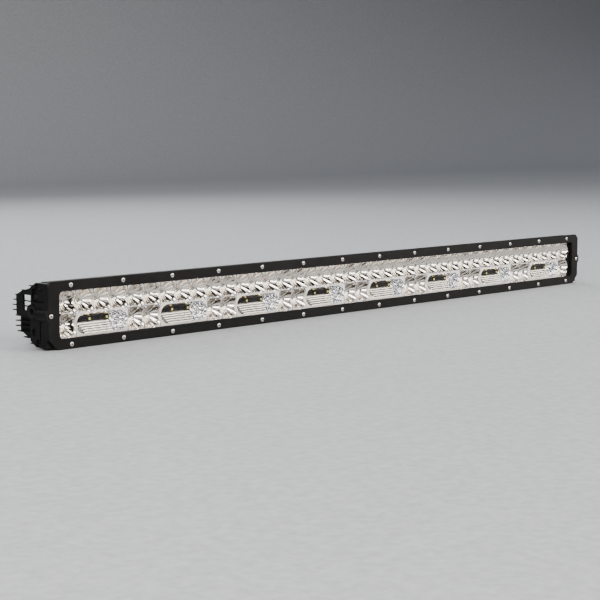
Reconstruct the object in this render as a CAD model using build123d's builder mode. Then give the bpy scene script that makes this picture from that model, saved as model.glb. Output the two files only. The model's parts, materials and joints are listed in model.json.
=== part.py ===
"""Dual-row LED light bar: finned extrusion, end caps, bezel, lens, reflectors, boards and fasteners.

Millimetres. X runs along the bar, the light leaves towards -Y, +Z is up, and the origin is the
middle of the whole bar. Depths are counted backwards from the front face of the bezel.
"""
from build123d import *
import os

os.makedirs("parts", exist_ok=True)

# ------------------------------------------------------------------ driving dimensions
pitch = 25.4                    # reflector grid, both ways
segment_columns = 5             # columns in one moulded reflector
segment_count = 8
segments_per_board = 2
row_z = pitch / 2               # cup rows lie half a pitch above and below the middle
segment_length = pitch * segment_columns
optics_length = segment_length * segment_count
board_count = segment_count // segments_per_board
board_span = segment_length * segments_per_board

bar_depth = 68.0                # bezel front to fin tips
head_proud = 0.9                # screw heads stand this far out of the bezel
y_front = -(bar_depth - head_proud) / 2

# bezel
bezel_half_length = 528.0
bezel_half_height = 39.5
bezel_thickness = 4.0
bezel_top_corner = 6.0
bezel_bottom_corner = 13.0
window_length = 1022.0
window_height = 54.0
window_corner = 5.0
screw_pitch = 3 * pitch
screw_columns = 14
screw_line_z = 34.0
end_screw_x = 523.5
end_lobe_radius = 8.0

# M3 button-head screws of the bezel, and M4 cap screws of the end caps
m3_shank = 1.45
m3_hole = 1.5
m3_clearance = 1.7
m3_head_radius = 2.85
m3_head_height = 1.65
m3_socket = 1.15                # corner radius of the hexagon
counterbore_radius = 3.5
counterbore_depth = m3_head_height - head_proud
bezel_screw_length = 13.0
bezel_hole_depth = 11.0
m4_shank = 1.75
m4_clearance = 2.2
m4_head_radius = 3.6
m4_head_height = 2.4
m4_socket = 1.7
m4_counterbore = 4.2
m4_screw_length = 20.0

# lens and its gasket
lens_thickness = 3.0
lens_half_length = 515.5
lens_half_height = 30.0
lens_corner = 4.0
gasket_thickness = 1.5
lens_back = bezel_thickness + lens_thickness
ledge_depth = lens_back + gasket_thickness

# extruded housing
housing_half_length = 518.5
wall_half_height = 37.5
wall_inner = 28.0
pocket_inner = 30.3             # the lens pocket in front of the ledge
shoulder_depth = 24.0           # where the outer wall starts to slope in
base_front = 24.0
base_back = 30.0
base_half_height = 34.5
fin_root_half = 1.3
fin_tip_half = 0.8
fin_pitch = 6.0
fin_setback = 22.0              # the fins of the extrusion stop this far from its ends
fin_tips = (68.0, 68.0, 67.0, 63.0, 50.0, 36.0)     # tip depth, from the middle fin outwards
port_radius = 1.8
port_places = ((27.0, 20.0), (27.0, -20.0), (19.5, 32.0), (19.5, -32.0))     # depth, z

# reflectors, boards and LEDs
reflector_front = 7.8
reflector_back = 21.6
reflector_half_height = 27.6
segment_gap = 0.2
cup_rim_radius = 14.9
cup_floor_radius = 3.2
cup_depth = 12.8
cup_mid = (9.9, 5.4)            # a point on the cup's arc: radius, height over its floor
trough_depth = 8.6
trough_wall_taper = 22.0
trough_floor_z = 3.0            # the LED strip lies this far above the trough's middle
board_front = 21.9
board_thickness = 1.6
board_half_height = 26.5
board_half_length = board_span / 2 - 0.2
pad_half_height = 26.0
led_side = 3.5
led_height = 0.8
led_dome = 1.45
strip_length = 47.0
strip_offset = -8.0             # the strip lies left of its segment's middle
strip_height = 5.6
strip_thickness = 1.4
bridge_length = 9.0
bridge_width = 4.0
bridge_height = 1.6
bridge_z = -23.0
riser_length = 41.0
riser_height = 4.6

# end caps
cap_inner = 519.5
cap_thickness = 8.0
cap_outer = cap_inner + cap_thickness
cap_half_height = 36.8
cap_shoulder = 24.0
cap_waist = (35.0, 30.0)        # depth, z where the closed part of the casting ends
web_shoulder = (49.0, 26.5)     # depth, z of the bend in the frame behind it
web_back = (61.0, 21.0)
web_thickness = 2.5
cap_opening = (33.0, 47.5, 4.0, 22.0)   # depth from and to, z from and to
slot_wall_inset = 1.5           # the closed wall between the lower fins starts this far in
slot_wall_thickness = 1.5
slot_wall_top = -2.0
cap_fin_half = 0.6
cap_fin_tips_lower = (63.0, 63.0, 63.0, 60.0, 48.0, 35.0)
plug_inner = 511.0
boss_place = (31.0, 3.0)        # depth, z of the M8 mounting point
boss_radius = 9.0
boss_proud = 1.0
cap_screw_recess = 4.0
insert_radius = 6.0
mount_hole = 4.0

# cable gland and pressure vent on the back
gland_x = segment_length / 2
vent_x = -segment_length / 2
rear_port_z = -17.5
rear_pocket_length = 34.0
rear_pocket_height = 27.0
gland_thread = 8.0
gland_bore = 3.6
vent_thread = 6.0


def y_at(depth):
    """Y of a point that lies this far behind the bezel's front face."""
    return y_front + depth


def front_plane(depth, x=0.0, z=0.0):
    """A plane facing forwards, with its own x along the bar and its own y up."""
    return Plane(origin=(x, y_at(depth), z), x_dir=(1, 0, 0), z_dir=(0, -1, 0))


def end_plane(x):
    """A section plane across the bar: its own x is the depth axis and its own y is up."""
    return Plane(origin=(x, y_front, 0), x_dir=(0, 1, 0), z_dir=(1, 0, 0))


def finish(builder, name):
    """Label a finished piece and write it out."""
    builder.part.label = name
    export_step(builder.part, f"parts/{name}.step")


def fin_rows(upper_tips, lower_tips):
    """Each cooling fin as its height and the depth of its tip."""
    heights = [fin_pitch * (number + 0.5) for number in range(len(upper_tips))]
    upper = list(zip(heights, upper_tips))
    lower = [(-z, tip) for z, tip in zip(heights, lower_tips)]
    return upper + lower


def segment_centres():
    """X of the middle of each reflector segment."""
    first = -optics_length / 2 + segment_length / 2
    return [first + segment_length * number for number in range(segment_count)]


def board_centres():
    """X of the middle of each LED board."""
    first = -optics_length / 2 + board_span / 2
    return [first + board_span * number for number in range(board_count)]


def cup_places():
    """Cup axes of one segment, from its middle: five above, one at each end below."""
    upper = [(pitch * k, row_z) for k in (-2, -1, 0, 1, 2)]
    lower = [(pitch * k, -row_z) for k in (-2, 2)]
    return upper + lower


trough_led_z = -row_z + trough_floor_z
board_screw_places = [(-1.5 * pitch, 0.0), (1.5 * pitch, 0.0)]      # from a segment's middle

# ------------------------------------------------------------------ housing extrusion
with BuildPart() as housing:
    with BuildSketch(end_plane(-housing_half_length)):
        with BuildLine():
            Polyline(
                (bezel_thickness, wall_half_height),
                (shoulder_depth, wall_half_height),
                (base_back, base_half_height),
                (base_back, -base_half_height),
                (shoulder_depth, -wall_half_height),
                (bezel_thickness, -wall_half_height),
                close=True,
            )
        make_face()
        for z, tip in fin_rows(fin_tips, fin_tips):
            with BuildLine():
                Polyline(
                    (base_back - 1.0, z + fin_root_half),
                    (tip, z + fin_tip_half),
                    (tip, z - fin_tip_half),
                    (base_back - 1.0, z - fin_root_half),
                    close=True,
                )
            make_face()
        with Locations(((bezel_thickness + base_front) / 2, 0)):
            Rectangle(base_front - bezel_thickness, 2 * wall_inner, mode=Mode.SUBTRACT)
        with Locations(((bezel_thickness + ledge_depth) / 2, 0)):
            Rectangle(ledge_depth - bezel_thickness, 2 * pocket_inner, mode=Mode.SUBTRACT)
        with Locations(*port_places):
            Circle(port_radius, mode=Mode.SUBTRACT)
    extrude(amount=2 * housing_half_length)
    # the fins stop short of both ends
    for x in (-housing_half_length, housing_half_length - fin_setback):
        with BuildSketch(end_plane(x)):
            with Locations(((base_back + bar_depth) / 2 + 0.5, 0)):
                Rectangle(bar_depth - base_back + 1.0, 2 * wall_half_height)
        extrude(amount=fin_setback, mode=Mode.SUBTRACT)
    # tapped holes for the bezel screws
    with Locations(front_plane(bezel_thickness)):
        with GridLocations(screw_pitch, 2 * screw_line_z, screw_columns, 2):
            Hole(m3_hole, depth=bezel_hole_depth)
    # tapped holes for the board screws
    for centre in segment_centres():
        with Locations(front_plane(base_front, x=centre)):
            with Locations(*board_screw_places):
                Hole(1.5, depth=5.0)
    # the fins are milled away round the gland and the vent
    for centre, thread in ((gland_x, gland_thread), (vent_x, vent_thread)):
        with BuildSketch(front_plane(base_back, x=centre, z=rear_port_z)):
            RectangleRounded(rear_pocket_length, rear_pocket_height, 4.0)
        extrude(amount=-(bar_depth - base_back + 1.0), mode=Mode.SUBTRACT)
        with Locations(front_plane(base_front, x=centre, z=rear_port_z)):
            Hole(thread + 0.05, depth=base_back - base_front + 1.0)
finish(housing, "housing")

# ------------------------------------------------------------------ end caps
with BuildPart() as end_cap_right:
    # closed part that covers the end of the box
    with BuildSketch(end_plane(cap_inner)) as cap_outline:
        with BuildLine():
            Polyline(
                (bezel_thickness, cap_half_height),
                (cap_shoulder, cap_half_height),
                cap_waist,
                (cap_waist[0], -cap_waist[1]),
                (cap_shoulder, -cap_half_height),
                (bezel_thickness, -cap_half_height),
                close=True,
            )
        make_face()
        fillet(cap_outline.vertices().group_by(Axis.Y)[-1], 1.5)
    extrude(amount=cap_thickness)
    # thin frame behind it, flush with the outer face
    with BuildSketch(end_plane(cap_outer - web_thickness)):
        with BuildLine():
            Polyline(
                (cap_waist[0] - 1.0, cap_waist[1]),
                web_shoulder,
                web_back,
                (web_back[0], slot_wall_top),
                (cap_waist[0] - 1.0, slot_wall_top),
                close=True,
            )
        make_face()
    extrude(amount=web_thickness)
    # closed wall between the lower fins, sunk behind their ends
    with BuildSketch(end_plane(cap_inner + slot_wall_inset)):
        with BuildLine():
            Polyline(
                (cap_waist[0] - 1.0, boss_place[1]),
                (web_back[0] - 1.0, boss_place[1]),
                (web_back[0] - 1.0, -web_back[1]),
                (web_shoulder[0], -web_shoulder[1] + 0.5),
                (cap_waist[0] - 1.0, -cap_waist[1] + 0.5),
                close=True,
            )
        make_face()
    extrude(amount=slot_wall_thickness)
    # fins that carry on the fins of the extrusion
    for z, tip in fin_rows(fin_tips, cap_fin_tips_lower):
        fin_inner = cap_outer - web_thickness if z > 0 else cap_inner + slot_wall_inset
        with BuildSketch(end_plane(fin_inner)):
            with Locations(((cap_shoulder + tip) / 2, z)):
                Rectangle(tip - cap_shoulder, 2 * cap_fin_half)
        extrude(amount=cap_outer - fin_inner)
    # opening over the boss, crossed by the two fins that pass behind it
    with BuildSketch(end_plane(cap_inner)):
        with Locations(((cap_opening[0] + cap_opening[1]) / 2, (cap_opening[2] + cap_opening[3]) / 2)):
            Rectangle(cap_opening[1] - cap_opening[0], cap_opening[3] - cap_opening[2])
        for z in (1.5 * fin_pitch, 2.5 * fin_pitch):
            with Locations(((cap_opening[0] + cap_opening[1]) / 2, z)):
                Rectangle(cap_opening[1] - cap_opening[0], 2 * cap_fin_half, mode=Mode.SUBTRACT)
    extrude(amount=cap_thickness, mode=Mode.SUBTRACT)
    # lobe under the bezel's end screw
    with BuildSketch(front_plane(bezel_thickness, x=end_screw_x)):
        Circle(end_lobe_radius - 0.5)
        with Locations((-end_lobe_radius, 0)):
            Rectangle(2 * (end_lobe_radius - end_screw_x + cap_inner), 4 * end_lobe_radius,
                      mode=Mode.SUBTRACT)
    extrude(amount=-18.0)
    # plug that reaches into the extrusion and carries the end of the lens gasket
    with BuildSketch(front_plane(ledge_depth, x=(plug_inner + cap_inner) / 2)):
        Rectangle(cap_inner - plug_inner, 2 * wall_inner - 0.6)
    extrude(amount=-(shoulder_depth - 2.5 - ledge_depth))
    # mounting boss
    with BuildSketch(end_plane(cap_inner)):
        with Locations(boss_place):
            Circle(boss_radius)
    extrude(amount=cap_thickness + boss_proud)
    # sunk panel over the boss and a groove in front of it
    with BuildSketch(end_plane(cap_outer)):
        with Locations((19.0, 22.5)):
            RectangleRounded(22.0, 16.0, 2.5)
        with Locations((15.5, -10.0)):
            RectangleRounded(2.0, 40.0, 0.9)
    extrude(amount=-2.5, mode=Mode.SUBTRACT)
    # holes
    with Locations(end_plane(cap_outer + boss_proud)):
        with Locations(boss_place):
            Hole(insert_radius, depth=cap_thickness + boss_proud)
    with Locations(end_plane(cap_outer)):
        with Locations(*port_places):
            CounterBoreHole(m4_clearance, m4_counterbore, cap_screw_recess, depth=cap_thickness)
    with Locations(front_plane(bezel_thickness)):
        with Locations((end_screw_x, 0)):
            Hole(m3_hole, depth=bezel_hole_depth)
finish(end_cap_right, "end_cap_right")

with BuildPart() as end_cap_left:
    mirror(objects=end_cap_right.part, about=Plane.YZ)
finish(end_cap_left, "end_cap_left")

# threaded inserts that take the M8 bracket bolts
with BuildPart() as mount_insert_right:
    with BuildSketch(end_plane(cap_inner)):
        with Locations(boss_place):
            Circle(insert_radius - 0.03)
            Circle(mount_hole, mode=Mode.SUBTRACT)
    extrude(amount=cap_thickness + boss_proud)
    chamfer(mount_insert_right.faces().sort_by(Axis.X)[-1].inner_wires()[0].edges(), 0.6)
finish(mount_insert_right, "mount_insert_right")

with BuildPart() as mount_insert_left:
    mirror(objects=mount_insert_right.part, about=Plane.YZ)
finish(mount_insert_left, "mount_insert_left")

# end gaskets
with BuildPart() as end_gasket_right:
    with BuildSketch(end_plane(housing_half_length)):
        with BuildLine():
            Polyline(
                (bezel_thickness + 0.5, cap_half_height - 0.5),
                (shoulder_depth - 0.3, cap_half_height - 0.5),
                (base_back - 0.3, base_half_height - 1.5),
                (base_back - 0.3, -base_half_height + 1.5),
                (shoulder_depth - 0.3, -cap_half_height + 0.5),
                (bezel_thickness + 0.5, -cap_half_height + 0.5),
                close=True,
            )
        make_face()
        with Locations(((bezel_thickness + shoulder_depth - 2.0) / 2, 0)):
            Rectangle(shoulder_depth - 2.0 - bezel_thickness + 1.2, 2 * pocket_inner,
                      mode=Mode.SUBTRACT)
        with Locations(*port_places):
            Circle(m4_clearance, mode=Mode.SUBTRACT)
        with Locations(boss_place):
            Circle(insert_radius, mode=Mode.SUBTRACT)
    extrude(amount=cap_inner - housing_half_length)
finish(end_gasket_right, "end_gasket_right")

with BuildPart() as end_gasket_left:
    mirror(objects=end_gasket_right.part, about=Plane.YZ)
finish(end_gasket_left, "end_gasket_left")

# end cap screws, four at each end
cap_screw_seat = cap_outer - cap_screw_recess
with BuildPart() as end_cap_screws:
    with BuildSketch(end_plane(cap_screw_seat)):
        with Locations(*port_places):
            Circle(m4_head_radius)
    extrude(amount=m4_head_height)
    chamfer(end_cap_screws.faces().group_by(Axis.X)[-1].edges(), 0.7)
    with BuildSketch(end_plane(cap_screw_seat)):
        with Locations(*port_places):
            Circle(m4_shank)
    extrude(amount=-m4_screw_length)
    with BuildSketch(end_plane(cap_screw_seat + m4_head_height)):
        with Locations(*port_places):
            RegularPolygon(m4_socket, 6)
    extrude(amount=-1.4, mode=Mode.SUBTRACT)
    mirror(about=Plane.YZ)
finish(end_cap_screws, "end_cap_screws")

# ------------------------------------------------------------------ lens and gasket
with BuildPart() as lens:
    with BuildSketch(front_plane(bezel_thickness)):
        RectangleRounded(2 * lens_half_length, 2 * lens_half_height, lens_corner)
    extrude(amount=-lens_thickness)
finish(lens, "lens")

with BuildPart() as lens_gasket:
    with BuildSketch(front_plane(lens_back)):
        RectangleRounded(2 * lens_half_length, 2 * lens_half_height, lens_corner)
        Rectangle(2 * plug_inner + 1.0, 2 * wall_inner + 0.6, mode=Mode.SUBTRACT)
    extrude(amount=-gasket_thickness)
finish(lens_gasket, "lens_gasket")

# ------------------------------------------------------------------ bezel and its screws
with BuildPart() as bezel:
    with BuildSketch(front_plane(bezel_thickness)) as bezel_outline:
        with BuildLine():
            Polyline(
                (-bezel_half_length + bezel_top_corner, bezel_half_height),
                (bezel_half_length - bezel_top_corner, bezel_half_height),
                (bezel_half_length, bezel_half_height - bezel_top_corner),
                (bezel_half_length, -bezel_half_height + bezel_bottom_corner),
                (bezel_half_length - bezel_bottom_corner, -bezel_half_height),
                (-bezel_half_length + bezel_bottom_corner, -bezel_half_height),
                (-bezel_half_length, -bezel_half_height + bezel_bottom_corner),
                (-bezel_half_length, bezel_half_height - bezel_top_corner),
                close=True,
            )
        make_face()
        with Locations((-end_screw_x, 0), (end_screw_x, 0)):
            Circle(end_lobe_radius)
        fillet(bezel_outline.vertices(), 2.5)
        RectangleRounded(window_length, window_height, window_corner, mode=Mode.SUBTRACT)
    extrude(amount=bezel_thickness)
    bezel_face = bezel.faces().sort_by(Axis.Y)[0]
    fillet(bezel_face.outer_wire().edges(), 1.2)
    chamfer(bezel.faces().sort_by(Axis.Y)[0].inner_wires()[0].edges(), 1.0)
    with Locations(front_plane(0.0)):
        with GridLocations(screw_pitch, 2 * screw_line_z, screw_columns, 2):
            CounterBoreHole(m3_clearance, counterbore_radius, counterbore_depth, depth=bezel_thickness)
        with Locations((-end_screw_x, 0), (end_screw_x, 0)):
            CounterBoreHole(m3_clearance, counterbore_radius, counterbore_depth, depth=bezel_thickness)
finish(bezel, "bezel")

screw_places = [
    (screw_pitch * (number - (screw_columns - 1) / 2), side * screw_line_z)
    for number in range(screw_columns)
    for side in (-1, 1)
]
screw_places += [(-end_screw_x, 0), (end_screw_x, 0)]
with BuildPart() as bezel_screws:
    with BuildSketch(front_plane(counterbore_depth)):
        with Locations(*screw_places):
            Circle(m3_head_radius)
    extrude(amount=m3_head_height)
    fillet(bezel_screws.faces().group_by(Axis.Y)[0].edges(), 1.2)
    with BuildSketch(front_plane(counterbore_depth)):
        with Locations(*screw_places):
            Circle(m3_shank)
    extrude(amount=-bezel_screw_length)
    with BuildSketch(front_plane(-head_proud)):
        with Locations(*screw_places):
            RegularPolygon(m3_socket, 6)
    extrude(amount=-1.1, mode=Mode.SUBTRACT)
finish(bezel_screws, "bezel_screws")


# ------------------------------------------------------------------ reflector segments
def build_reflector(centre, name):
    """One moulded segment: seven round cups and one long trough, on a closed block."""
    block_length = segment_length - segment_gap
    with BuildPart() as reflector:
        with BuildSketch(front_plane(reflector_front, x=centre)):
            Rectangle(block_length, 2 * reflector_half_height)
        extrude(amount=-(reflector_back - reflector_front))
        for cup_x, cup_z in cup_places():
            axis_origin = (centre + cup_x, y_at(reflector_front + cup_depth), cup_z)
            cup_plane = Plane(origin=axis_origin, x_dir=(1, 0, 0), z_dir=(0, 0, 1))
            with BuildSketch(cup_plane):
                with BuildLine():
                    Line((0, 0), (cup_floor_radius, 0))
                    ThreePointArc((cup_floor_radius, 0), (cup_mid[0], -cup_mid[1]),
                                  (cup_rim_radius, -cup_depth))
                    Line((cup_rim_radius, -cup_depth), (0, -cup_depth))
                    Line((0, -cup_depth), (0, 0))
                make_face()
            revolve(axis=Axis(axis_origin, (0, 1, 0)), mode=Mode.SUBTRACT)
            with Locations(front_plane(reflector_front + cup_depth - 0.2, x=centre + cup_x, z=cup_z)):
                Hole(cup_floor_radius - 0.2, depth=2.0)
        with BuildSketch(front_plane(reflector_front, x=centre, z=-row_z)):
            SlotOverall(3 * pitch - 1.0, pitch - 0.4)
        extrude(amount=-trough_depth, taper=trough_wall_taper, mode=Mode.SUBTRACT)
        with BuildSketch(front_plane(reflector_front + trough_depth - 0.5,
                                     x=centre + strip_offset, z=trough_led_z)):
            Rectangle(strip_length + 0.4, strip_height + 0.4)
        extrude(amount=-3.0, mode=Mode.SUBTRACT)
        # space for the parts on the board behind the trough
        with BuildSketch(front_plane(reflector_front + trough_depth + 1.4, x=centre, z=-row_z)):
            Rectangle(2.9 * pitch, pitch - 2.0)
        extrude(amount=-6.0, mode=Mode.SUBTRACT)
        # notches over the bridges between boards
        with BuildSketch(front_plane(reflector_back, x=centre)):
            with Locations((-segment_length / 2, bridge_z), (segment_length / 2, bridge_z)):
                Rectangle(bridge_length + 1.0, bridge_width + 1.0)
        extrude(amount=bridge_height, mode=Mode.SUBTRACT)
        # space for the heads of the board screws
        with Locations(front_plane(reflector_back, x=centre)):
            with Locations(*board_screw_places):
                Cylinder(3.6, 2.6, align=(Align.CENTER, Align.CENTER, Align.MIN), mode=Mode.SUBTRACT)
    finish(reflector, name)


for number, centre in enumerate(segment_centres(), start=1):
    build_reflector(centre, f"reflector_{number}")


# ------------------------------------------------------------------ LED boards and their parts
def rear_openings(centre):
    """Holes that the gland's leads and the vent's air need in the board at this centre."""
    near = board_span / 2
    return [x - centre for x in (gland_x, vent_x) if abs(x - centre) < near]


def build_board(centre, name):
    """Metal-core board that carries two segments."""
    with BuildPart() as board:
        with BuildSketch(front_plane(board_front, x=centre)):
            RectangleRounded(2 * board_half_length, 2 * board_half_height, 1.0)
        extrude(amount=-board_thickness)
        for side in (-1, 1):
            with Locations(front_plane(board_front, x=centre + side * segment_length / 2)):
                with Locations(*board_screw_places):
                    Hole(1.7, depth=board_thickness)
        for x in rear_openings(centre):
            with Locations(front_plane(board_front, x=centre + x, z=rear_port_z)):
                Hole(4.5, depth=board_thickness)
    finish(board, name)


def build_pad(centre, name):
    """Soft thermal pad between a board and the housing."""
    with BuildPart() as pad:
        with BuildSketch(front_plane(board_front + board_thickness, x=centre)):
            Rectangle(2 * board_half_length - 1.0, 2 * pad_half_height)
        extrude(amount=-(base_front - board_front - board_thickness))
        for side in (-1, 1):
            with Locations(front_plane(board_front, x=centre + side * segment_length / 2)):
                with Locations(*board_screw_places):
                    Hole(2.2, depth=4.0)
        for x in rear_openings(centre):
            with Locations(front_plane(board_front, x=centre + x, z=rear_port_z)):
                Hole(6.5, depth=4.0)
    finish(pad, name)


def build_leds(places, base_depth, name):
    """Square LED packages with a domed top, all standing on one surface."""
    with BuildPart() as leds:
        with BuildSketch(front_plane(base_depth)):
            with Locations(*places):
                Rectangle(led_side, led_side)
        extrude(amount=led_height)
        with Locations(front_plane(base_depth - led_height)):
            with Locations(*places):
                Cylinder(led_dome, 1.0, align=(Align.CENTER, Align.CENTER, Align.MIN))
        fillet(leds.faces().group_by(Axis.Y)[0].edges(), 0.7)
    finish(leds, name)


for number, centre in enumerate(board_centres(), start=1):
    build_board(centre, f"led_board_{number}")
    build_pad(centre, f"thermal_pad_{number}")
    cups = [
        (centre + side * segment_length / 2 + cup_x, cup_z)
        for side in (-1, 1)
        for cup_x, cup_z in cup_places()
    ]
    build_leds(cups, board_front, f"cup_leds_{number}")

strip_front = reflector_front + trough_depth
strip_places = [(centre + strip_offset, trough_led_z) for centre in segment_centres()]
trough_leds = [
    (centre + side * pitch / 2, trough_led_z) for centre in segment_centres() for side in (-1, 1)
]
build_leds(trough_leds, strip_front, "trough_leds")

with BuildPart() as trough_strips:
    with BuildSketch(front_plane(strip_front)):
        with Locations(*strip_places):
            RectangleRounded(strip_length, strip_height, 0.8)
    extrude(amount=-strip_thickness)
finish(trough_strips, "trough_strips")

with BuildPart() as trough_risers:
    with BuildSketch(front_plane(strip_front + strip_thickness)):
        with Locations(*strip_places):
            Rectangle(riser_length, riser_height)
    extrude(amount=-(board_front - strip_front - strip_thickness))
finish(trough_risers, "trough_risers")

with BuildPart() as board_screws:
    for centre in segment_centres():
        with Locations(front_plane(board_front, x=centre)):
            with Locations(*board_screw_places):
                Cylinder(2.8, 1.8, align=(Align.CENTER, Align.CENTER, Align.MIN))
                Cylinder(1.45, 6.5, align=(Align.CENTER, Align.CENTER, Align.MAX))
finish(board_screws, "board_screws")

# short bridges that join one board to the next
with BuildPart() as board_bridges:
    for x in (-board_span, 0.0, board_span):
        with BuildSketch(front_plane(board_front, x=x, z=bridge_z)):
            Rectangle(bridge_length, bridge_width)
        extrude(amount=bridge_height)
finish(board_bridges, "board_bridges")

# driver chips and coils sit on the boards behind each trough
with BuildPart() as driver_chips:
    for centre in segment_centres():
        with BuildSketch(front_plane(board_front, x=centre - 26.0, z=-row_z - 6.0)):
            Rectangle(6.0, 5.0)
        extrude(amount=1.6)
finish(driver_chips, "driver_chips")

with BuildPart() as driver_coils:
    for centre in segment_centres():
        with BuildSketch(front_plane(board_front, x=centre - 14.0, z=-row_z - 6.0)):
            RectangleRounded(7.0, 7.0, 1.2)
        extrude(amount=3.2)
finish(driver_coils, "driver_coils")

# ------------------------------------------------------------------ supply: gland, seal, leads
with BuildPart() as gland_body:
    with BuildSketch(front_plane(base_back, x=gland_x, z=rear_port_z)):
        RegularPolygon(11.0, 6)
    extrude(amount=-4.0)
    with BuildSketch(front_plane(base_front + 0.3, x=gland_x, z=rear_port_z)):
        Circle(gland_thread)
    extrude(amount=-(base_back - base_front - 0.3))
    with BuildSketch(front_plane(base_back + 4.0, x=gland_x, z=rear_port_z)):
        Circle(7.5)
    extrude(amount=-9.0)
    with Locations(front_plane(base_front, x=gland_x, z=rear_port_z)):
        Hole(6.0, depth=24.0)
finish(gland_body, "gland_body")

with BuildPart() as gland_seal:
    with BuildSketch(front_plane(base_back + 3.0, x=gland_x, z=rear_port_z)):
        Circle(5.9)
        Circle(gland_bore, mode=Mode.SUBTRACT)
    extrude(amount=-10.0)
finish(gland_seal, "gland_seal")

with BuildPart() as gland_nut:
    with BuildSketch(front_plane(base_back + 4.5, x=gland_x, z=rear_port_z)):
        Circle(10.0)
    extrude(amount=-13.0)
    fillet(gland_nut.faces().sort_by(Axis.Y)[-1].edges(), 3.0)
    with Locations(front_plane(base_back + 4.5, x=gland_x, z=rear_port_z)):
        Hole(7.55, depth=8.8)
        Hole(5.5, depth=20.0)
finish(gland_nut, "gland_nut")

with BuildPart() as input_terminal:
    with BuildSketch(front_plane(board_front, x=gland_x + 18.0, z=rear_port_z)):
        Rectangle(7.0, 8.0)
    extrude(amount=3.2)
finish(input_terminal, "input_terminal")

lead_radius = 0.9
lead_depth = board_front - 1.8
for side, name in ((1, "input_lead_positive"), (-1, "input_lead_negative")):
    lead_z = rear_port_z + side * 2.0
    with BuildPart() as lead:
        with BuildLine() as route:
            FilletPolyline(
                (gland_x, y_at(base_back + 2.5), lead_z),
                (gland_x, y_at(lead_depth), lead_z),
                (gland_x + 14.4, y_at(lead_depth), lead_z),
                radius=4.0,
            )
        with BuildSketch(Plane(origin=route.line @ 0, z_dir=route.line % 0)):
            Circle(lead_radius)
        sweep(path=route.line)
    finish(lead, name)

# ------------------------------------------------------------------ pressure vent
with BuildPart() as vent_body:
    with BuildSketch(front_plane(base_back, x=vent_x, z=rear_port_z)):
        RegularPolygon(9.0, 6)
    extrude(amount=-3.0)
    with BuildSketch(front_plane(base_back + 3.0, x=vent_x, z=rear_port_z)):
        Circle(7.5)
    extrude(amount=-4.0)
    fillet(vent_body.faces().sort_by(Axis.Y)[-1].edges(), 1.0)
    with BuildSketch(front_plane(base_front + 0.5, x=vent_x, z=rear_port_z)):
        Circle(vent_thread)
    extrude(amount=-(base_back - base_front - 0.5))
    with Locations(front_plane(base_front, x=vent_x, z=rear_port_z)):
        Hole(3.0, depth=9.0)
    with Locations(front_plane(base_back + 5.0, x=vent_x, z=rear_port_z)):
        with PolarLocations(6.5, 6):
            Cylinder(0.8, 20.0, rotation=(0, 90, 0), mode=Mode.SUBTRACT)
finish(vent_body, "vent_body")

with BuildPart() as vent_membrane:
    with BuildSketch(front_plane(base_front + 4.0, x=vent_x, z=rear_port_z)):
        Circle(2.95)
    extrude(amount=-0.4)
finish(vent_membrane, "vent_membrane")
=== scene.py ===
"""Looks of the dual-row LED light bar: reflectors, LEDs, finishes, floor, light and camera."""
import json
import math
import random

import bmesh
import bpy
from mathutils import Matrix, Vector


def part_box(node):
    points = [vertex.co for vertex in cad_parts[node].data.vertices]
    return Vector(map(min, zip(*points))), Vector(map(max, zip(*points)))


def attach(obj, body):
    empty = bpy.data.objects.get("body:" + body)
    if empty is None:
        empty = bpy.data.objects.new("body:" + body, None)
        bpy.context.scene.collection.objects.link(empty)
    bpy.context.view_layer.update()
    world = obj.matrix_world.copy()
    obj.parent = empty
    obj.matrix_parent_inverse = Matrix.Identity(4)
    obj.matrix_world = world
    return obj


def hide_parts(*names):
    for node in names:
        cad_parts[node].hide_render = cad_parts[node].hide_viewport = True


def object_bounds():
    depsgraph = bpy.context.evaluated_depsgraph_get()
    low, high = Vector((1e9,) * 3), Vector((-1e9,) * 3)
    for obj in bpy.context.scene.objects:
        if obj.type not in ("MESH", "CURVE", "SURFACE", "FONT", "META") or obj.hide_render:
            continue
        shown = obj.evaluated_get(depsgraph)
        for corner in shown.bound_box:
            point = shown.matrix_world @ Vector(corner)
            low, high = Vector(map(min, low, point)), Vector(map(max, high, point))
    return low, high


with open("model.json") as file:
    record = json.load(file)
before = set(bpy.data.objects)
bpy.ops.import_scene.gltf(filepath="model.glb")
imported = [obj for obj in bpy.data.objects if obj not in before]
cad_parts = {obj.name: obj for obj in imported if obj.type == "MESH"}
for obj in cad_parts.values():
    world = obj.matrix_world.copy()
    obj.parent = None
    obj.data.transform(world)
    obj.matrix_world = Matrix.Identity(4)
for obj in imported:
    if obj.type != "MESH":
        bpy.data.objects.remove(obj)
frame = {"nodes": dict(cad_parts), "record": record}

cad_low, cad_high = [list(corner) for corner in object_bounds()]
MM = 0.001
NEARLY_ZERO = 1e-9                               # keeps a division safe
WELD = 0.02 * MM                                 # points nearer than this are joined
SLIVER = 0.005 * MM                              # edges shorter than this are removed
BODY = "root"

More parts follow.
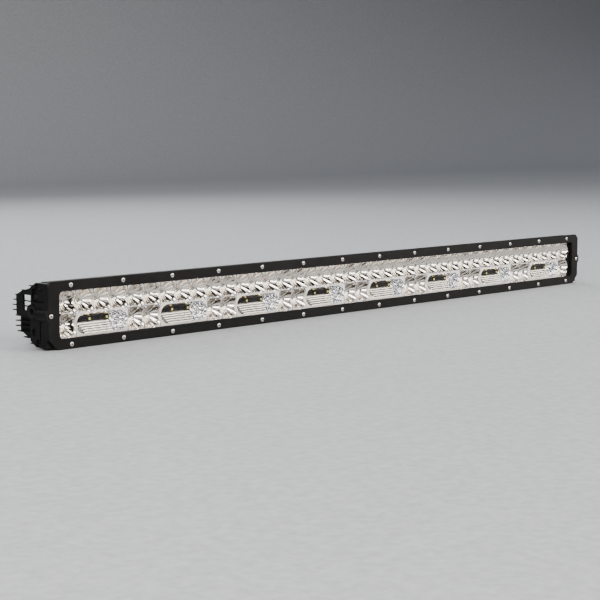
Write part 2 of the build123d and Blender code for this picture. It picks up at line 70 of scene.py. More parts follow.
# ------------------------------------------------------------------ driving sizes, in metres
PITCH = 25.4 * MM
SEGMENTS = 8
SEGMENTS_PER_BOARD = 2
UPPER_COLUMNS = (-2, -1, 0, 1, 2)                # a segment's cup columns in the upper row
LOWER_COLUMNS = (-2, 2)                          # and in the lower row, with the trough between
TROUGH_CELLS = 3                                 # how many columns wide a trough is
ROW_Z = PITCH / 2                                # how far each row is above or below the middle
CUP_RIM = 14.9 * MM                              # radius of a cup at its rim
CUP_FLOOR = 2.4 * MM                             # and at its floor
CUP_DEPTH = 12.8 * MM
CUP_LAND = 0.60 * MM                             # half the thickness of the wall between two cups
CUP_HALF = PITCH / 2 - CUP_LAND
CUP_CORNER = math.acos(CUP_HALF / CUP_RIM)       # where the cup's rim leaves the cell's side
CELL_CORNER = math.acos(PITCH / 2 / CUP_RIM)     # the same, on the line between two cells
FLUTES = 4                                       # flutes in a quarter of a cup
FLUTE_STEPS = 5                                  # mesh steps across one flute
FLUTE_CROWN = 0.60 * MM                          # how far a flute stands out at the rim
FLUTE_LEAN = 0.5                                 # the share of that by which it also comes forward
WALL_STEPS = 14                                  # mesh steps from a cup's floor to its rim
WALL_CROWDING = 0.8                              # under 1, the steps are longer near the floor
CUP_COLLAR = 1.2 * MM                            # the short tube behind a cup's floor
DIAMOND_RISE = 0.15 * MM                         # how far a flat between cups rises to its middle
BEZEL_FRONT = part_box("bezel")[0][1]
FIRST_LOW, FIRST_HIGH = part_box("reflector_1")
LAST_LOW, LAST_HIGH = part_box(f"reflector_{SEGMENTS}")
RIM_Y = FIRST_LOW[1]
TOP_Z = FIRST_HIGH[2]
STRIP_LOW, STRIP_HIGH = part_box("trough_strips")
STRIP_Y = STRIP_LOW[1]
FLOOR_LEFT = STRIP_LOW[0] - (FIRST_LOW[0] + FIRST_HIGH[0]) / 2    # the strip's ends, from the
FLOOR_RIGHT = STRIP_HIGH[0] - (LAST_LOW[0] + LAST_HIGH[0]) / 2    # middle of its segment
TROUGH_MID_Z = -13.3 * MM
TROUGH_RADIUS = 11.9 * MM                        # of the trough's round ends
TROUGH_STRAIGHT = 25.8 * MM                      # from the trough's middle to where they begin
RIBS = 5                                         # ribs down a trough's lower wall
RIB_STEPS = 12                                   # mesh steps down one rib
RIB_ROUNDNESS = 0.25                             # how much a rib's upper face bulges
RIB_WANDER = 0.2 * MM                            # how far a rib strays up and down
RIB_WANDER_LENGTH = 11.0 * MM
RIB_RISER = 1.0 * MM                             # height of the near-vertical face of a rib
RIB_LEAN = math.radians(6)                       # how far that face leans back
PEBBLE_PITCH = 1.7 * MM
PEBBLE_HEIGHT = 0.70 * MM
PEBBLE_TILT = 0.85                               # steepest slope of a pebble's face
PEBBLE_SEED_STEP = 101                           # more than the pebbles in a column
LED_HALF = 1.75 * MM                             # half the width of an LED's base
LED_HEIGHT = 0.7 * MM
DIE_HALF = 1.15 * MM
DIE_RISE = 0.15 * MM                             # the phosphor stands out of the base
DOME_RADIUS = 1.4 * MM
DOME_HEIGHT = 1.05 * MM
DOME_GAP = 0.02 * MM                             # keeps the dome's edge off the base
SCREW_PITCH = 3 * PITCH
SCREW_COLUMNS = 14
HEAD_RADIUS = 2.85 * MM
HEAD_HEIGHT = 1.65 * MM
HEAD_DOME = 0.62                                 # the share of the head's height that is domed
SOCKET_RADIUS = 1.15 * MM
SOCKET_LAND = 0.25 * MM                          # flat ring between the dome and the hexagon
SOCKET_DEPTH = 1.1 * MM

# the sides of a cell, in the order that the angle turns
RIGHT_SIDE, TOP_SIDE, LEFT_SIDE, BOTTOM_SIDE = range(4)

# the slots of a reflector, in the order that build_reflector fills them
CHROME_SLOT, PEBBLED_SLOT, SPARKLE_SLOT, SATIN_SLOT = range(4)


# ------------------------------------------------------------------ materials
def new_material(name, base, roughness, metallic=0.0):
    """A Principled material, returned with its node tree, shader and object coordinates."""
    material = bpy.data.materials.new(name)
    material.use_nodes = True
    tree = material.node_tree
    shader = tree.nodes["Principled BSDF"]
    shader.inputs["Base Color"].default_value = (*base, 1.0)
    shader.inputs["Roughness"].default_value = roughness
    shader.inputs["Metallic"].default_value = metallic
    coords = tree.nodes.new("ShaderNodeTexCoord")
    return material, tree, shader, coords.outputs["Object"]


def noise(tree, vector, scale, detail=4.0, roughness=0.55):
    """A noise texture's value; scale is in repeats per metre."""
    node = tree.nodes.new("ShaderNodeTexNoise")
    node.inputs["Scale"].default_value = scale
    node.inputs["Detail"].default_value = detail
    node.inputs["Roughness"].default_value = roughness
    tree.links.new(vector, node.inputs["Vector"])
    return node.outputs["Fac"]


def spread(tree, value, low, high):
    """Maps a noise's usual range, 0.3 to 0.7, onto low to high."""
    node = tree.nodes.new("ShaderNodeMapRange")
    node.inputs["From Min"].default_value = 0.3
    node.inputs["From Max"].default_value = 0.7
    node.inputs["To Min"].default_value = low
    node.inputs["To Max"].default_value = high
    tree.links.new(value, node.inputs["Value"])
    return node.outputs["Result"]


def blend_colours(tree, value, dark, light):
    """A colour between dark and light by value."""
    node = tree.nodes.new("ShaderNodeMix")
    node.data_type = "RGBA"
    node.inputs["A"].default_value = (*dark, 1.0)
    node.inputs["B"].default_value = (*light, 1.0)
    tree.links.new(value, node.inputs["Factor"])
    return node.outputs["Result"]


def bump(tree, shader, height, strength, distance):
    """Adds a bump to the shader."""
    node = tree.nodes.new("ShaderNodeBump")
    node.inputs["Strength"].default_value = strength
    node.inputs["Distance"].default_value = distance
    tree.links.new(height, node.inputs["Height"])
    tree.links.new(node.outputs["Normal"], shader.inputs["Normal"])


def powder_coat(name, base, light, roughness, specular):
    """Satin powder coat with a fine orange peel and faint mottling."""
    material, tree, shader, place = new_material(name, base, roughness)
    shader.inputs["Specular IOR Level"].default_value = specular
    mottle = noise(tree, place, 45.0)
    tree.links.new(blend_colours(tree, spread(tree, mottle, 0.0, 1.0), base, light),
                   shader.inputs["Base Color"])
    tree.links.new(spread(tree, noise(tree, place, 160.0), roughness - 0.05, roughness + 0.07),
                   shader.inputs["Roughness"])
    bump(tree, shader, noise(tree, place, 1400.0, 2.0), strength=0.25, distance=0.00012)
    return material


def bright_metal(name, base, roughness, grain=900.0):
    """Bright metal with a faint brushed variation."""
    material, tree, shader, place = new_material(name, base, roughness, 1.0)
    tree.links.new(spread(tree, noise(tree, place, grain), roughness - 0.05, roughness + 0.08),
                   shader.inputs["Roughness"])
    bump(tree, shader, noise(tree, place, grain * 2, 2.0), strength=0.08, distance=0.00005)
    return material


def mirror_coat(name, base, roughness, ripple):
    """Metallised plastic: nearly a mirror, with the slight ripple of a moulding."""
    material, tree, shader, place = new_material(name, base, roughness, 1.0)
    tone = noise(tree, place, 70.0, 3.0)
    shade = tuple(0.93 * channel for channel in base)
    tree.links.new(blend_colours(tree, spread(tree, tone, 0.0, 1.0), shade, base),
                   shader.inputs["Base Color"])
    tree.links.new(spread(tree, noise(tree, place, 260.0), roughness - 0.03, roughness + 0.05),
                   shader.inputs["Roughness"])
    bump(tree, shader, noise(tree, place, 520.0, 2.0), ripple, distance=0.0001)
    return material


def pebbled_coat(name, base, roughness):
    """Metallised plastic with a pebbled face."""
    material, tree, shader, place = new_material(name, base, roughness, 1.0)
    cells = tree.nodes.new("ShaderNodeTexVoronoi")
    cells.feature = "SMOOTH_F1"
    cells.inputs["Scale"].default_value = 900.0
    tree.links.new(place, cells.inputs["Vector"])
    tree.links.new(spread(tree, noise(tree, place, 300.0), roughness - 0.05, roughness + 0.1),
                   shader.inputs["Roughness"])
    bump(tree, shader, cells.outputs["Distance"], strength=0.7, distance=0.0005)
    return material


def plain_plastic(name, base, roughness, grain=1200.0, lift=0.2, specular=0.5):
    """Moulded plastic or rubber with a fine grain."""
    material, tree, shader, place = new_material(name, base, roughness)
    shader.inputs["Specular IOR Level"].default_value = specular
    light = tuple(min(1.0, channel * 1.25 + 0.004) for channel in base)
    mottle = noise(tree, place, 120.0)
    tree.links.new(blend_colours(tree, spread(tree, mottle, 0.0, 1.0), base, light),
                   shader.inputs["Base Color"])
    tree.links.new(spread(tree, noise(tree, place, 400.0), roughness - 0.06, roughness + 0.06),
                   shader.inputs["Roughness"])
    bump(tree, shader, noise(tree, place, grain, 2.0), lift, distance=0.0001)
    return material


def clear_sheet(name):
    """Clear polycarbonate: almost nothing but its gloss."""
    material, tree, shader, place = new_material(name, (0.01, 0.01, 0.01), 0.03)
    shader.inputs["Alpha"].default_value = 0.04
    shader.inputs["IOR"].default_value = 1.45
    tree.links.new(spread(tree, noise(tree, place, 30.0), 0.02, 0.05), shader.inputs["Roughness"])
    material.surface_render_method = "BLENDED"
    return material


def clear_dome(name, tint):
    """The clear silicone over an LED."""
    material, tree, shader, place = new_material(name, tint, 0.06)
    shader.inputs["Alpha"].default_value = 0.35
    tree.links.new(spread(tree, noise(tree, place, 900.0), 0.04, 0.1), shader.inputs["Roughness"])
    return material


BLACK = powder_coat("powder_black", (0.0050, 0.0048, 0.0050), (0.0080, 0.0077, 0.0080),
                    roughness=0.46, specular=0.08)
STEEL = bright_metal("stainless", (0.64, 0.61, 0.57), 0.20)
# painted shade: the hexagon socket's inside is near black for the shade in the recess, not for the
# colour of the steel
SOCKET_PAINTED_SHADE = plain_plastic("socket_painted_shade", (0.03, 0.028, 0.026), 0.5)
DARK_STEEL = plain_plastic("black_steel", (0.008, 0.008, 0.008), 0.45, specular=0.12)
CHROME = mirror_coat("reflector_chrome", (0.97, 0.91, 0.84), roughness=0.07, ripple=0.10)
SATIN = mirror_coat("reflector_satin", (1.0, 0.95, 0.89), roughness=0.45, ripple=0.10)
SPARKLE = mirror_coat("reflector_sparkle", (0.80, 0.80, 0.83), roughness=0.08, ripple=0.10)
PEBBLED = pebbled_coat("reflector_pebbled", (0.72, 0.71, 0.72), 0.14)
CLEAR = clear_sheet("clear_lens")
RUBBER = plain_plastic("seal_rubber", (0.014, 0.014, 0.014), 0.75)
BOARD = plain_plastic("board_mask", (0.006, 0.006, 0.007), 0.38, 500.0, 0.1, specular=0.15)
PHOSPHOR = plain_plastic("led_phosphor", (0.98, 0.80, 0.08), 0.5, 3000.0, 0.1)
LED_BASE = plain_plastic("led_base", (0.03, 0.03, 0.028), 0.5, 3000.0, 0.1)
DOME = clear_dome("led_dome", (1.0, 0.86, 0.30))
PALE_PHOSPHOR = plain_plastic("led_phosphor_pale", (0.62, 0.58, 0.42), 0.5, 3000.0, 0.1)
PALE_DOME = clear_dome("led_dome_pale", (0.9, 0.92, 0.92))
PAD = plain_plastic("thermal_pad", (0.30, 0.32, 0.35), 0.8)
ALUMINIUM = bright_metal("bare_aluminium", (0.72, 0.72, 0.71), 0.35)
NYLON = plain_plastic("black_plastic", (0.016, 0.016, 0.017), 0.5)
EPOXY = plain_plastic("chip_epoxy", (0.03, 0.03, 0.033), 0.6)
RED_WIRE = plain_plastic("lead_red", (0.45, 0.02, 0.02), 0.4)
BLACK_WIRE = plain_plastic("lead_black", (0.012, 0.012, 0.012), 0.4)
PTFE = plain_plastic("vent_ptfe", (0.80, 0.80, 0.78), 0.7)

CAD_FINISHES = {
    "powder_black": BLACK,
    "stainless": STEEL,
    "black_steel": DARK_STEEL,
    "reflector_chrome": CHROME,
    "clear_lens": CLEAR,
    "seal_rubber": RUBBER,
    "board_mask": BOARD,
    "led_phosphor": PHOSPHOR,
    "thermal_pad": PAD,
    "bare_aluminium": ALUMINIUM,
    "black_plastic": NYLON,
    "chip_epoxy": EPOXY,
    "lead_red": RED_WIRE,
    "lead_black": BLACK_WIRE,
    "vent_ptfe": PTFE,
}


def paint_cad():
    """Gives every CAD node the procedural finish of its material slot."""
    slots = {entry["node"]: entry["material_slot"] for entry in frame["record"]["subparts"]}
    for name, node in frame["nodes"].items():
        finish = CAD_FINISHES[slots[name]]
        if not node.material_slots:
            node.data.materials.append(finish)
        for place in node.material_slots:
            place.material = finish


# ------------------------------------------------------------------ mesh building
class Shell:
    """Collects points and faces of one piece, then joins what touches."""

    def __init__(self):
        self.points = []
        self.faces = []
        self.slots = []
        self.sharp = set()

    def patch(self, rows, slot, sharp_rows=(), sharp_columns=()):
        """A grid of points, given row by row, as quads. The listed rows and columns are sharp."""
        start = len(self.points)
        width = len(rows[0])
        for row in rows:
            self.points.extend(row)
        for i in range(len(rows) - 1):
            for j in range(width - 1):
                a = start + i * width + j
                self.faces.append((a, a + 1, a + width + 1, a + width))
                self.slots.append(slot)
        for i in sharp_rows:
            for j in range(width - 1):
                a = start + i * width + j
                self.sharp.add((a, a + 1))
        for j in sharp_columns:
            for i in range(len(rows) - 1):
                a = start + i * width + j
                self.sharp.add((a, a + width))

    def make(self, name, materials):
        """Writes the mesh, welds the patches and shades it smooth between sharp edges."""
        mesh = bpy.data.meshes.new(name)
        mesh.from_pydata(self.points, [], self.faces)
        for material in materials:
            mesh.materials.append(material)
        for polygon, slot in zip(mesh.polygons, self.slots):
            polygon.material_index = slot
            polygon.use_smooth = True
        for edge in mesh.edges:
            low, high = sorted(edge.vertices)
            edge.use_edge_sharp = (low, high) in self.sharp
        work = bmesh.new()
        work.from_mesh(mesh)
        bmesh.ops.remove_doubles(work, verts=work.verts, dist=WELD)
        bmesh.ops.dissolve_degenerate(work, dist=SLIVER, edges=work.edges)
        bmesh.ops.recalc_face_normals(work, faces=work.faces)
        work.to_mesh(mesh)
        work.free()
        piece = bpy.data.objects.new(name, mesh)
        bpy.context.scene.collection.objects.link(piece)
        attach(piece, BODY)
        return piece


def cup_depth(radius):
    """How far behind the rim plane the cup's wall is at this radius."""
    rise = (radius ** 2 - CUP_FLOOR ** 2) / (CUP_RIM ** 2 - CUP_FLOOR ** 2)
    return CUP_DEPTH * (1.0 - rise)


def rim_radius(angle, is_open):
    """The cup's outer radius at an angle from the middle of its side."""
    if is_open:
        return CUP_RIM
    return min(CUP_RIM, CUP_HALF / math.cos(angle))


def add_land(shell, cx, cz, turn, stands):
    """Half of the thin wall's front edge, from the cup to the line between two cells.

    Where the cell beyond is a trough, the wall stands up from there to the rim plane.
    """
    steps = 16
    rows = []
    for reach, corner in ((CUP_HALF, CUP_CORNER), (PITCH / 2, CELL_CORNER)):
        row = []
        for k in range(steps + 1):
            angle = corner * (2 * k / steps - 1)
            radius = reach / math.cos(angle)
            row.append((
                cx + radius * math.cos(turn + angle),
                RIM_Y + cup_depth(CUP_HALF / math.cos(min(abs(angle), CUP_CORNER))),
                cz + radius * math.sin(turn + angle),
            ))
        rows.append(row)
    shell.patch(rows, SATIN_SLOT, sharp_rows=(0,))
    if stands:
        rim = [(x, RIM_Y, z) for x, y, z in rows[1]]
        shell.patch([rows[1], rim], SATIN_SLOT, sharp_rows=(0, 1))


def add_cup(shell, cx, cz, open_sides, trough_sides=()):
    """A parabolic cup with radial flutes, whose wall ends on the sides that it shares.

    open_sides names the sides with no neighbour, and trough_sides those next to a trough.
    """
    count = FLUTES * FLUTE_STEPS
    for side in range(4):
        turn = side * math.pi / 2
        is_open = side in open_sides
        angles = [math.pi / 2 * (j / count - 0.5) for j in range(count + 1)]
        rows = []
        for i in range(WALL_STEPS + 1):
            part = (i / WALL_STEPS) ** WALL_CROWDING
            row = []
            for j, angle in enumerate(angles):
                outer = rim_radius(angle, is_open)
                radius = CUP_FLOOR + (outer - CUP_FLOOR) * part
                swell = FLUTE_CROWN * math.sin(math.pi * (j % FLUTE_STEPS) / FLUTE_STEPS)
                crown = swell * radius / CUP_RIM
                if i == WALL_STEPS:
                    crown = 0.0
                row.append((
                    cx + (radius - crown) * math.cos(turn + angle),
                    RIM_Y + cup_depth(radius) - FLUTE_LEAN * crown,
                    cz + (radius - crown) * math.sin(turn + angle),
                ))
            rows.append(row)
        shell.patch(rows, CHROME_SLOT, sharp_rows=(0, WALL_STEPS),
                    sharp_columns=range(0, count + 1, FLUTE_STEPS))
        collar = [(x, y + CUP_COLLAR, z) for x, y, z in rows[0]]
        shell.patch([collar, rows[0]], CHROME_SLOT, sharp_rows=(1,))
        if not is_open:
            add_land(shell, cx, cz, turn, side in trough_sides)


def corner_arc(cx, cz, side):
    """The rim's points round one corner of a cell, from one side's end to the next side's."""
    steps = 8
    first = side * math.pi / 2 + CUP_CORNER
    sweep = math.pi / 2 - 2 * CUP_CORNER
    points = []
    for k in range(steps + 1):
        angle = first + sweep * k / steps
        points.append((cx + CUP_RIM * math.cos(angle), RIM_Y, cz + CUP_RIM * math.sin(angle)))
    return points


def add_diamond(shell, x, z, quarters):
    """The pebbled flat where cups meet. quarters lists the cells round it that have a cup."""
    for dx, dz, side in quarters:
        arc = corner_arc(x + dx * PITCH / 2, z + dz * PITCH / 2, side)
        centre = (x, RIM_Y - DIAMOND_RISE, z)
        rings = 3
        rows = []
        for k in range(rings + 1):
            part = k / rings
            rows.append([
                tuple(centre[n] + (point[n] - centre[n]) * part for n in range(3)) for point in arc
            ])
        shell.patch(rows, PEBBLED_SLOT)


def add_flange(shell, cx, cz, up):
    """The flat between an outer cup's arc and the edge of the moulding."""
    edge_z = TOP_Z * up
    steps = 24
    arc = []
    edge = []
    for k in range(steps + 1):
        angle = CUP_CORNER + (math.pi - 2 * CUP_CORNER) * k / steps
        x = cx + CUP_RIM * math.cos(angle)
        z = cz + up * CUP_RIM * math.sin(angle)
        x = max(cx - PITCH / 2, min(cx + PITCH / 2, x))
        arc.append((x, RIM_Y, z))
        edge.append((x, RIM_Y, edge_z))
    shell.patch([arc, edge], SATIN_SLOT)


def pebble_lift(x, z):
    """How far the ramp stands out at this point of a trough: rows of tilted pebbles."""
    column = math.floor(x / PEBBLE_PITCH + 0.5)
    shift = 0.5 * (column % 2)
    row = math.floor(z / PEBBLE_PITCH + shift + 0.5)
    chance = random.Random(PEBBLE_SEED_STEP * column + row)
    tilt_x = chance.uniform(-PEBBLE_TILT, PEBBLE_TILT)
    tilt_z = chance.uniform(-PEBBLE_TILT, PEBBLE_TILT)
    across = x - column * PEBBLE_PITCH
    up = z - (row - shift) * PEBBLE_PITCH
    return max(0.0, PEBBLE_HEIGHT + tilt_x * across + tilt_z * up)


def trough_outline(end, count):
    """Rim of one end of the trough, from its bottom round to its top; end is -1 left or 1 right."""
    floor_end = FLOOR_RIGHT if end > 0 else -TROUGH_STRAIGHT
    straight = abs(TROUGH_STRAIGHT - abs(floor_end))
    arc = math.pi * TROUGH_RADIUS
    whole = 2 * straight + arc
    points = []
    for k in range(count + 1):
        along = whole * k / count
        if along < straight:
            points.append((end * (abs(floor_end) + along), TROUGH_MID_Z - TROUGH_RADIUS))
        elif along > straight + arc:
            points.append((end * (abs(floor_end) + whole - along), TROUGH_MID_Z + TROUGH_RADIUS))
        else:
            turn = (along - straight) / TROUGH_RADIUS - math.pi / 2
            points.append((
                end * (TROUGH_STRAIGHT + TROUGH_RADIUS * math.cos(turn)),
                TROUGH_MID_Z + TROUGH_RADIUS * math.sin(turn),
            ))
    return points


def trough_end(end, floor_x, across, along):
    """The wall from the strip's end out to the rim. The right one is a long pebbled ramp."""
    floor_low, floor_high = STRIP_LOW[2], STRIP_HIGH[2]
    drop = STRIP_Y - RIM_Y
    outline = trough_outline(end, along)
    rows = []
    for i in range(across + 1):
        part = i / across
        row = []
        for j, (rim_x, rim_z) in enumerate(outline):
            floor_z = floor_low + (floor_high - floor_low) * j / along
            x = floor_x + (rim_x - floor_x) * part
            z = floor_z + (rim_z - floor_z) * part
            lift = pebble_lift(x, z) if end > 0 and 0 < i < across and 0 < j < along else 0.0
            row.append((x, STRIP_Y - drop * part - lift, z))
        rows.append(row)
    return rows


LEFT_END = trough_end(-1, FLOOR_LEFT, across=6, along=24)
RIGHT_END = trough_end(1, FLOOR_RIGHT, across=60, along=96)


def rib_lift(part, depth, height):
    """How far the ribbed wall stands out of its straight line, part of the way down.

    Each rib is a rounded tread that looks up and a riser that looks forwards.
    """
    pitch = height / RIBS
    fall = (part * height) % pitch
    tread = pitch - RIB_RISER
    straight = depth * fall / height
    whole = depth / RIBS
    if fall < tread:
        ease = fall / tread
        bulge = RIB_ROUNDNESS * ease * (1.0 - ease)
        stand = (whole - RIB_RISER * math.tan(RIB_LEAN)) * (ease + bulge)
    else:
        stand = whole - (pitch - fall) * math.tan(RIB_LEAN)
    return max(0.0, stand - straight)


def add_trough(shell, cx):
    """A trough: plain upper wall, ribbed lower wall, pebbled ramp and the opening for the strip."""
    drop = STRIP_Y - RIM_Y
    columns = 24
    for ribbed, floor_z, rim_z, steps in (
        (True, STRIP_LOW[2], TROUGH_MID_Z - TROUGH_RADIUS, RIBS * RIB_STEPS),
        (False, STRIP_HIGH[2], TROUGH_MID_Z + TROUGH_RADIUS, 4),
    ):
        rows = []
        for i in range(steps + 1):
            part = i / steps
            left = FLOOR_LEFT + (-TROUGH_STRAIGHT - FLOOR_LEFT) * part
            lift = rib_lift(part, drop, floor_z - rim_z) if ribbed else 0.0
            row = []
            for k in range(columns + 1):
                x = left + (FLOOR_RIGHT - left) * k / columns
                z = floor_z + (rim_z - floor_z) * part
                if ribbed:
                    wave = math.sin(2 * math.pi * x / RIB_WANDER_LENGTH)
                    z += RIB_WANDER * wave * math.sin(math.pi * part)
                row.append((cx + x, STRIP_Y - drop * part - lift, z))
            rows.append(row)
        shell.patch(rows, CHROME_SLOT,
                    sharp_rows=range(0, steps + 1, RIB_STEPS) if ribbed else (0, steps))
    shell.patch([[(cx + x, y, z) for x, y, z in row] for row in LEFT_END], CHROME_SLOT)
    shell.patch([[(cx + x, y, z) for x, y, z in row] for row in RIGHT_END], SPARKLE_SLOT,
                sharp_rows=range(len(RIGHT_END)), sharp_columns=range(len(RIGHT_END[0])))
    # the flat round the trough, out to the edges of its cells
    outline = []
    border = []
    for end in (1, -1):
        rim = trough_outline(end, count=48)
        if end < 0:
            rim = rim[::-1]
        for rim_x, rim_z in rim:
            outline.append((cx + rim_x, RIM_Y, rim_z))
            out_x = rim_x - end * TROUGH_STRAIGHT if abs(rim_x) > TROUGH_STRAIGHT else 0.0
            out_z = rim_z - TROUGH_MID_Z
            room_x = (TROUGH_CELLS / 2 * PITCH - TROUGH_STRAIGHT) / max(NEARLY_ZERO, abs(out_x))
            to_edge = -TROUGH_MID_Z if out_z > 0 else TROUGH_MID_Z + TOP_Z
            room_z = to_edge / max(NEARLY_ZERO, abs(out_z))
            reach = min(room_x, room_z)
            border.append((
                cx + (end * TROUGH_STRAIGHT + out_x * reach if out_x else rim_x),
                RIM_Y,
                TROUGH_MID_Z + out_z * reach,
            ))
    outline.append(outline[0])
    border.append(border[0])
    shell.patch([outline, border], SATIN_SLOT)


def segment_middle(number):
    """The middle of a segment along the bar."""
    low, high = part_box(f"reflector_{number}")
    return (low[0] + high[0]) / 2


def add_row_of_cups(shell, number, cx, up):
    """The cups of one row of a segment; up is 1 for the upper row and -1 for the lower."""
    for k in UPPER_COLUMNS if up > 0 else LOWER_COLUMNS:
        open_sides = {TOP_SIDE if up > 0 else BOTTOM_SIDE}
        if number == 1 and k == UPPER_COLUMNS[0]:
            open_sides.add(LEFT_SIDE)
        if number == SEGMENTS and k == UPPER_COLUMNS[-1]:
            open_sides.add(RIGHT_SIDE)
        if up > 0:
            trough_sides = () if k in LOWER_COLUMNS else {BOTTOM_SIDE}
        else:
            trough_sides = {RIGHT_SIDE} if k < 0 else {LEFT_SIDE}
        add_cup(shell, cx + k * PITCH, up * ROW_Z, open_sides, trough_sides)
        add_flange(shell, cx + k * PITCH, up * ROW_Z, up)


def build_reflector(number):
    """One metallised segment: seven fluted cups, a trough and the flats between them."""
    cx = segment_middle(number)
    shell = Shell()
    add_row_of_cups(shell, number, cx, 1)
    add_row_of_cups(shell, number, cx, -1)
    add_trough(shell, cx)
    # each cell round a flat: its step along and up, and the side where its rim arc begins
    upper_left, upper_right = (-1, 1, BOTTOM_SIDE), (1, 1, LEFT_SIDE)
    lower_left, lower_right = (-1, -1, RIGHT_SIDE), (1, -1, TOP_SIDE)
    for k, lower in ((-1.5, [lower_left]), (-0.5, []), (0.5, []), (1.5, [lower_right])):
        add_diamond(shell, cx + k * PITCH, 0.0, [upper_left, upper_right, *lower])
    half_width = len(UPPER_COLUMNS) / 2 * PITCH
    if number > 1:
        add_diamond(shell, cx - half_width, 0.0, [upper_right, lower_right])
    if number < SEGMENTS:
        add_diamond(shell, cx + half_width, 0.0, [upper_left, lower_left])
    piece = shell.make(f"reflector_shell_{number}", [CHROME, PEBBLED, SPARKLE, SATIN])
    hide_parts(f"reflector_{number}")


def box_patches(shell, low, high, slot):
    """Five faces of a small block, open at its back."""
    x0, y0, z0 = low
    x1, y1, z1 = high
    shell.patch([[(x0, y0, z0), (x1, y0, z0)], [(x0, y0, z1), (x1, y0, z1)]], slot)
    corners = [(x0, z0), (x1, z0), (x1, z1), (x0, z1)]
    for a, b in zip(corners, corners[1:] + corners[:1]):
        shell.patch(
            [[(a[0], y1, a[1]), (b[0], y1, b[1])], [(a[0], y0, a[1]), (b[0], y0, b[1])]],
            slot, sharp_rows=(0, 1), sharp_columns=(0, 1),
        )


def build_leds(node, places, base_y, phosphor, dome_finish):
    """LEDs of one group: dark base, phosphor square and clear dome."""
    shell = Shell()
    base_slot, die_slot, dome_slot = range(3)
    top_y = base_y - LED_HEIGHT
    rings = 6
    around = 16
    for x, z in places:
        box_patches(shell, (x - LED_HALF, top_y, z - LED_HALF),
                    (x + LED_HALF, base_y, z + LED_HALF), base_slot)
        box_patches(shell, (x - DIE_HALF, top_y - DIE_RISE, z - DIE_HALF),
                    (x + DIE_HALF, top_y, z + DIE_HALF), die_slot)
        rows = []
        for i in range(rings + 1):
            lift = math.pi / 2 * i / rings
            row = []
            for j in range(around + 1):
                turn = 2 * math.pi * j / around
                row.append((
                    x + DOME_RADIUS * math.cos(lift) * math.cos(turn),
                    top_y - DOME_GAP - DOME_HEIGHT * math.sin(lift),
                    z + DOME_RADIUS * math.cos(lift) * math.sin(turn),
                ))
            rows.append(row)
        shell.patch(rows, dome_slot)
    piece = shell.make(f"{node}_detail", [LED_BASE, phosphor, dome_finish])
    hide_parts(node)


def build_all_leds():
    """The cup LEDs of each board, and the pairs in the troughs."""
    for board in range(1, SEGMENTS // SEGMENTS_PER_BOARD + 1):
        places = []
        for number in (SEGMENTS_PER_BOARD * board - 1, SEGMENTS_PER_BOARD * board):
            cx = segment_middle(number)
            places += [(cx + k * PITCH, ROW_Z) for k in UPPER_COLUMNS]
            places += [(cx + k * PITCH, -ROW_Z) for k in LOWER_COLUMNS]
        build_leds(f"cup_leds_{board}", places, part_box(f"led_board_{board}")[0][1],
                   PALE_PHOSPHOR, PALE_DOME)
    led_z = (STRIP_LOW[2] + STRIP_HIGH[2]) / 2
    places = []
    for number in range(1, SEGMENTS + 1):
        cx = segment_middle(number)
        places += [(cx - PITCH / 2, led_z), (cx + PITCH / 2, led_z)]
    build_leds("trough_leds", places, STRIP_Y, PHOSPHOR, DOME)


def build_bezel_screws():
    """Button-head screws with a hexagon socket, all in one piece; the socket's walls and floor are
    painted near black as painted shade.
    """
    low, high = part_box("bezel_screws")
    head_top = low[1]
    seat = head_top + HEAD_HEIGHT
    middle = (SCREW_COLUMNS - 1) / 2
    columns = [SCREW_PITCH * (number - middle) for number in range(SCREW_COLUMNS)]
    line_z = (high[2] - low[2]) / 2 - HEAD_RADIUS
    end_x = (high[0] - low[0]) / 2 - HEAD_RADIUS
    places = [(x, z) for x in columns for z in (-line_z, line_z)] + [(-end_x, 0.0), (end_x, 0.0)]
    dome_height = HEAD_DOME * HEAD_HEIGHT
    dome_inner = SOCKET_RADIUS + SOCKET_LAND
    dome = [(HEAD_RADIUS, seat), (HEAD_RADIUS, head_top + dome_height)]
    rings = 5
    for k in range(1, rings + 1):
        turn = math.pi / 2 * k / rings
        dome.append((
            dome_inner + (HEAD_RADIUS - dome_inner) * math.cos(turn),
            head_top + dome_height * (1 - math.sin(turn)),
        ))
    around = 24
    side_steps = around // 6
    head_slot, socket_slot = range(2)
    shell = Shell()
    for x, z in places:
        rows = []
        for radius, y in dome:
            rows.append([
                (x + radius * math.cos(2 * math.pi * j / around), y,
                 z + radius * math.sin(2 * math.pi * j / around))
                for j in range(around + 1)
            ])
        hexagon = []
        for j in range(around + 1):
            angle = 2 * math.pi * j / around
            flat = (angle % (math.pi / 3)) - math.pi / 6
            radius = SOCKET_RADIUS * math.cos(math.pi / 6) / math.cos(flat)
            hexagon.append((x + radius * math.cos(angle), head_top, z + radius * math.sin(angle)))
        rows.append(hexagon)
        shell.patch(rows, head_slot, sharp_rows=(1, len(rows) - 1))
        # painted shade: the socket's walls and floor take the near-black socket finish
        deep = [(px, head_top + SOCKET_DEPTH, pz) for px, _, pz in hexagon]
        shell.patch([hexagon, deep], socket_slot, sharp_rows=(0, 1),
                    sharp_columns=range(0, around + 1, side_steps))
        shell.patch([deep, [(x, head_top + SOCKET_DEPTH, z)] * (around + 1)], socket_slot)
    piece = shell.make("bezel_screw_heads", [STEEL, SOCKET_PAINTED_SHADE])
    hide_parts("bezel_screws")


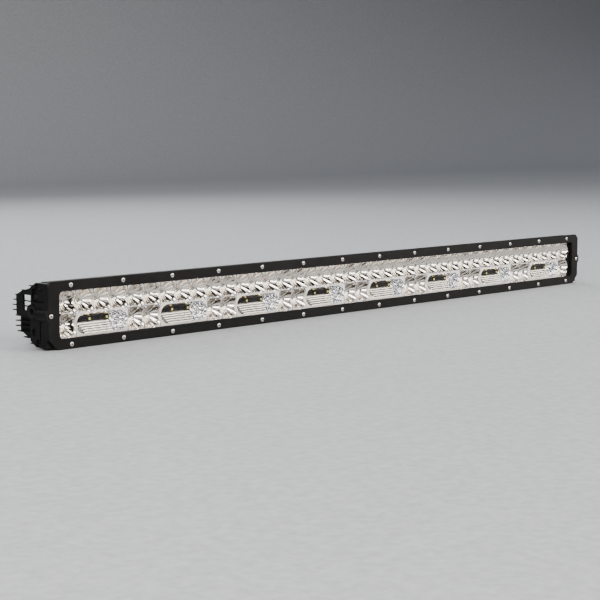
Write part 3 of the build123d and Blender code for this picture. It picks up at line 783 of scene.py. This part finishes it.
# ------------------------------------------------------------------ floor, light and camera
def build_floor():
    """A pale floor that curves up into a plain backdrop."""
    floor_z = cad_low[2]
    depth_front = 6.0
    depth_back = 4.0
    half_width = 9.0
    height = 6.0
    curve = 1.2
    steps = 12
    profile = [(-depth_front, floor_z), (depth_back, floor_z)]
    for k in range(1, steps + 1):
        turn = math.pi / 2 * k / steps
        profile.append((
            depth_back + curve * math.sin(turn),
            floor_z + curve * (1 - math.cos(turn)),
        ))
    profile.append((depth_back + curve, floor_z + height))
    points = []
    faces = []
    for y, z in profile:
        points += [(-half_width, y, z), (half_width, y, z)]
    for k in range(len(profile) - 1):
        faces.append((2 * k, 2 * k + 1, 2 * k + 3, 2 * k + 2))
    mesh = bpy.data.meshes.new("studio_floor")
    mesh.from_pydata(points, [], faces)
    for polygon in mesh.polygons:
        polygon.use_smooth = True
    floor = bpy.data.objects.new("studio_floor", mesh)
    bpy.context.scene.collection.objects.link(floor)
    mesh.materials.append(plain_plastic("floor_paint", (0.33, 0.345, 0.36), 0.7, 60.0, 0.02))


def add_light(name, place, aim, size, power, colour=(1.0, 1.0, 1.0)):
    """A soft rectangular light aimed at a point."""
    data = bpy.data.lights.new(name, "AREA")
    data.shape = "RECTANGLE"
    data.size, data.size_y = size
    data.energy = power
    data.color = colour
    light = bpy.data.objects.new(name, data)
    light.location = place
    light.rotation_euler = (Vector(aim) - Vector(place)).to_track_quat("-Z", "Y").to_euler()
    bpy.context.scene.collection.objects.link(light)


def build_world():
    """A studio that is dark round the horizon and lighter overhead."""
    world = bpy.data.worlds.new("studio")
    world.use_nodes = True
    tree = world.node_tree
    coords = tree.nodes.new("ShaderNodeTexCoord")
    split = tree.nodes.new("ShaderNodeSeparateXYZ")
    tree.links.new(coords.outputs["Generated"], split.inputs["Vector"])
    ramp = tree.nodes.new("ShaderNodeMapRange")
    ramp.interpolation_type = "SMOOTHSTEP"
    ramp.inputs["From Min"].default_value = 0.10
    ramp.inputs["From Max"].default_value = 0.75
    ramp.inputs["To Min"].default_value = 0.02
    ramp.inputs["To Max"].default_value = 0.55
    tree.links.new(split.outputs["Z"], ramp.inputs["Value"])
    tree.links.new(ramp.outputs["Result"], tree.nodes["Background"].inputs["Strength"])
    tree.nodes["Background"].inputs["Color"].default_value = (0.92, 0.93, 1.0, 1.0)
    bpy.context.scene.world = world


def build_light():
    """Plain soft studio light: large softboxes all round and overhead."""
    build_world()
    warm = (1.0, 0.95, 0.88)
    add_light("left_softbox", (-2.4, -1.7, 1.5), (-0.2, 0, 0), (1.8, 1.3), 95.0, warm)
    add_light("front_softbox", (0.5, -2.8, 1.9), (0, 0, 0), (3.0, 1.2), 95.0, warm)
    add_light("right_softbox", (2.4, -2.2, 0.7), (0.2, 0, 0), (2.2, 1.0), 70.0, warm)
    add_light("rear_softbox", (0.6, 2.6, 1.5), (0, 0, 0), (3.0, 1.2), 45.0)
    add_light("top_softbox", (0.2, 0.8, 2.6), (0, 0.6, 0), (4.0, 1.4), 60.0)


def build_camera():
    """Camera to the left of the bar and a little above it, looking along it."""
    azimuth = math.radians(-45.96)
    elevation = math.radians(6.56)
    distance = 1.976
    target = Vector((-0.1211, BEZEL_FRONT, -0.0143))
    back = Vector((
        math.sin(azimuth) * math.cos(elevation),
        -math.cos(azimuth) * math.cos(elevation),
        math.sin(elevation),
    ))
    data = bpy.data.cameras.new("camera")
    data.lens = 90.0
    data.sensor_width = 36.0
    camera = bpy.data.objects.new("camera", data)
    camera.location = target + back * distance
    camera.rotation_euler = (-back).to_track_quat("-Z", "Y").to_euler()
    bpy.context.scene.collection.objects.link(camera)
    bpy.context.scene.camera = camera


paint_cad()
for segment_number in range(1, SEGMENTS + 1):
    build_reflector(segment_number)
build_all_leds()
build_bezel_screws()
build_floor()
build_light()
build_camera()
